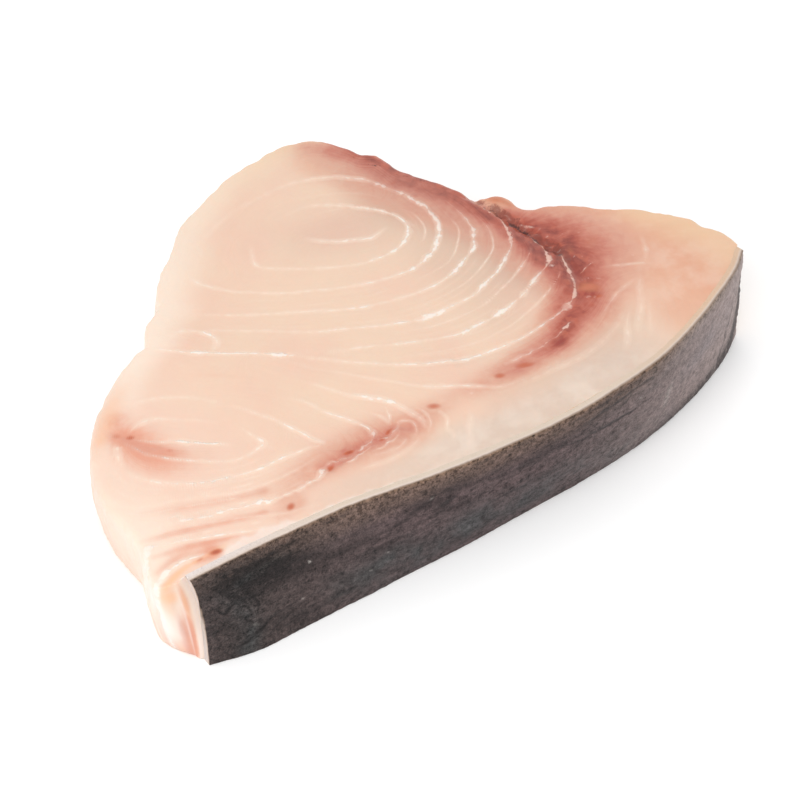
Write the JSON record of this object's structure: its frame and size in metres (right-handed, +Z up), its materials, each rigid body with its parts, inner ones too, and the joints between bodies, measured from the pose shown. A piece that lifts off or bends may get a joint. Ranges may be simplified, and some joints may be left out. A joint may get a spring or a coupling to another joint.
{
  "type": "raw swordfish steak",
  "caption": "Raw swordfish steak: a thick slab of pale ringed flesh cut straight across the fish, with dark skin left on along one side.",
  "frame": {"origin": "centre of the bounding box seen from above, on the flat underside", "axes": "+X along the skin side, +Z up from the underside to the cut face; the skin faces -Y"},
  "size_m": [0.184, 0.1254, 0.0303],
  "materials": {
    "flesh": "moist raw flesh, pale peach and cream with white membranes and a dark red line, soft sheen",
    "skin": "dark grey-brown fish skin, fine grain, dull with a faint damp sheen, pale at its cut edge"
  },
  "bodies": {
    "root": {"flesh": "flesh", "skin": "skin"}
  },
  "joints": []
}
